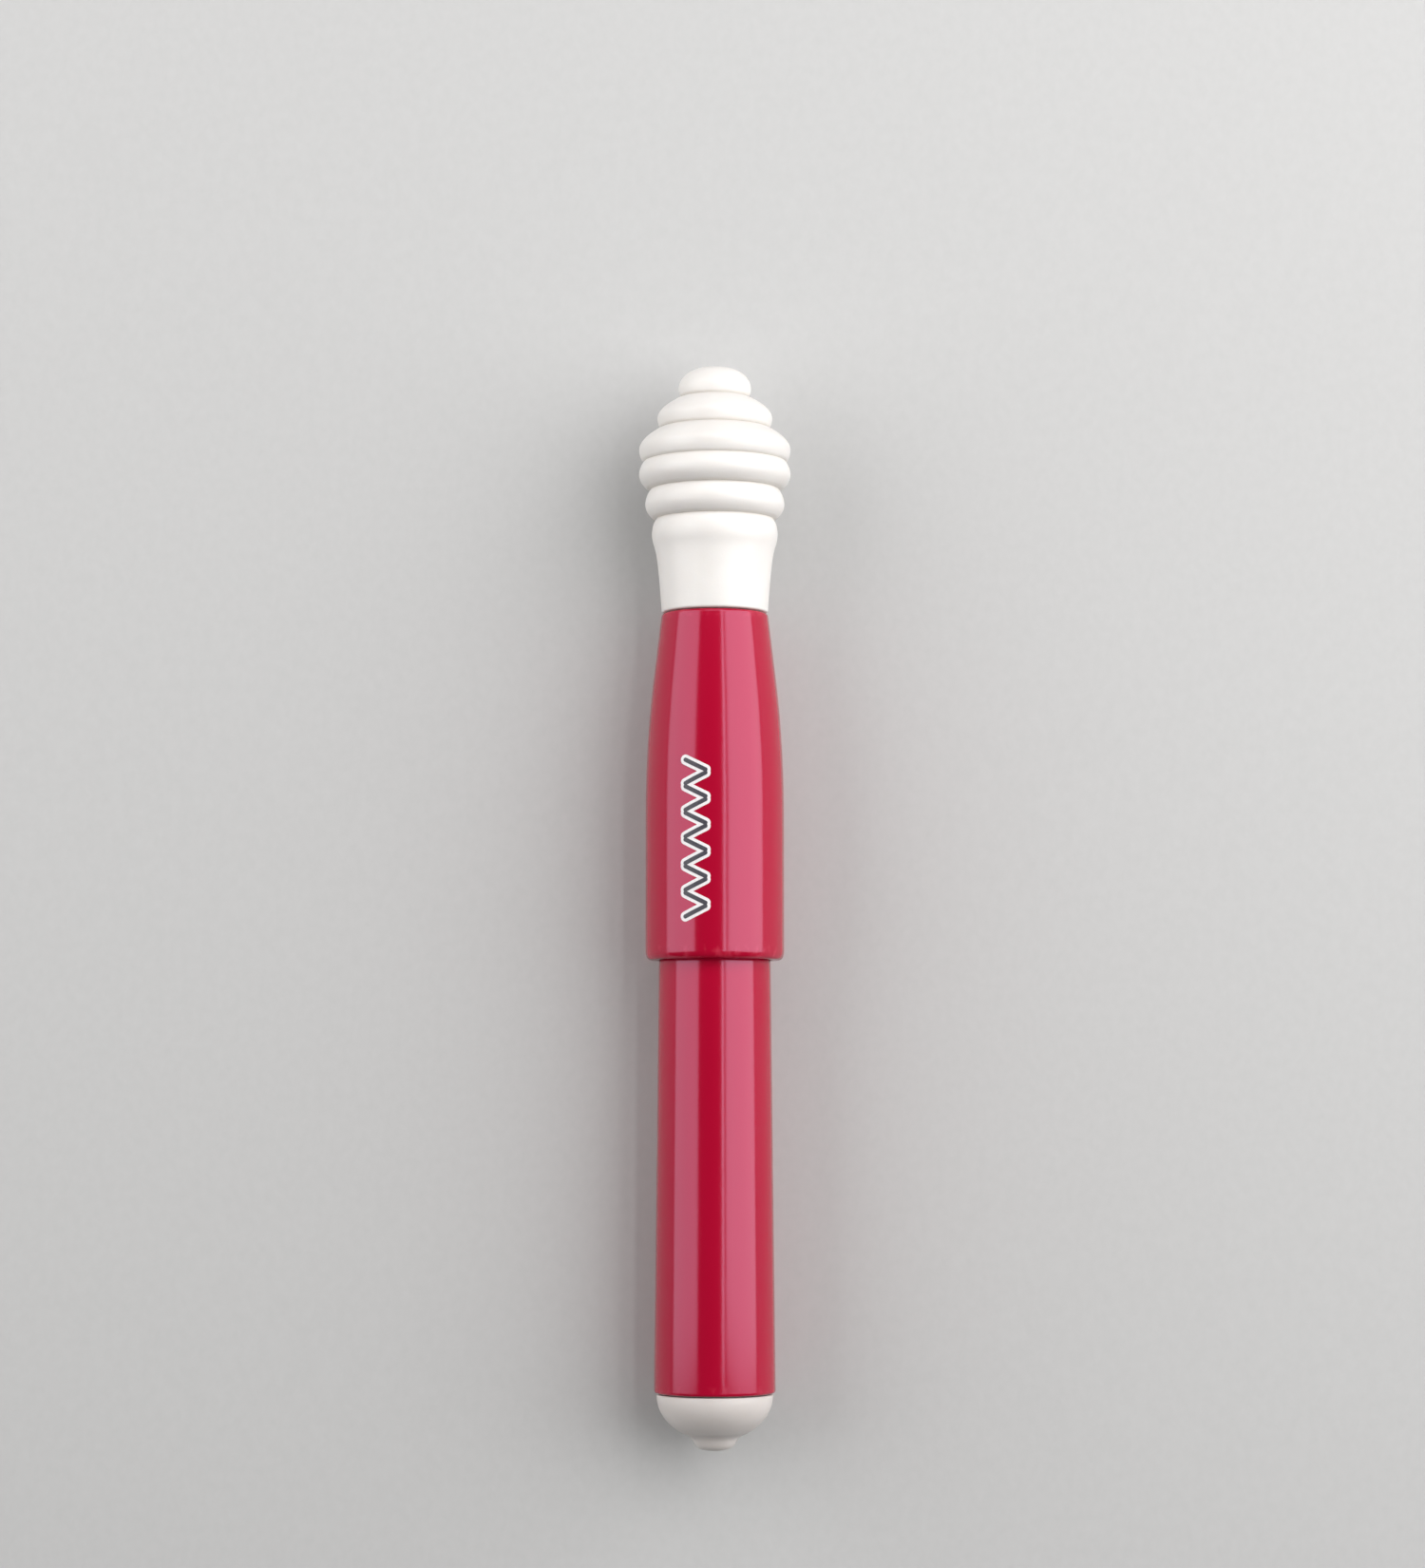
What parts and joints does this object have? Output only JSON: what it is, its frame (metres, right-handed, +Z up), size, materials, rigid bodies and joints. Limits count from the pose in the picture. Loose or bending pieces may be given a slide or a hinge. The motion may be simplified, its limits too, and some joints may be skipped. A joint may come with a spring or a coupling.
{
  "type": "capped seam ripper",
  "caption": "Seam ripper with a ribbed rubber thread-catching head on a pull-off cap, a forked steel blade and a tapered round handle.",
  "frame": {"origin": "on the surface that the tool lies on, under the middle of its length", "axes": "+Y along the tool towards the ribbed head, +Z up, +X to the right with the head away from the viewer"},
  "size_m": [0.0198, 0.14, 0.0197],
  "materials": {
    "head_rubber": "satin white thermoplastic rubber",
    "inner_plastic": "natural moulded plastic",
    "crimson_plastic": "glossy",
    "blade_steel": "polished",
    "ball_plastic": "glossy"
  },
  "bodies": {
    "handle": {"handle_barrel": "crimson_plastic", "blade": "blade_steel", "safety_ball": "ball_plastic", "tail_plug": "inner_plastic", "end_nub": "head_rubber"},
    "cap": {"cap_sleeve": "crimson_plastic", "cap_core": "inner_plastic", "ribbed_head": "head_rubber"}
  },
  "joints": [
    {"name": "cap_slide", "type": "slide", "parent": "handle", "child": "cap", "axis": [0, 1, 0], "range_m": [0, 0.065]}
  ]
}
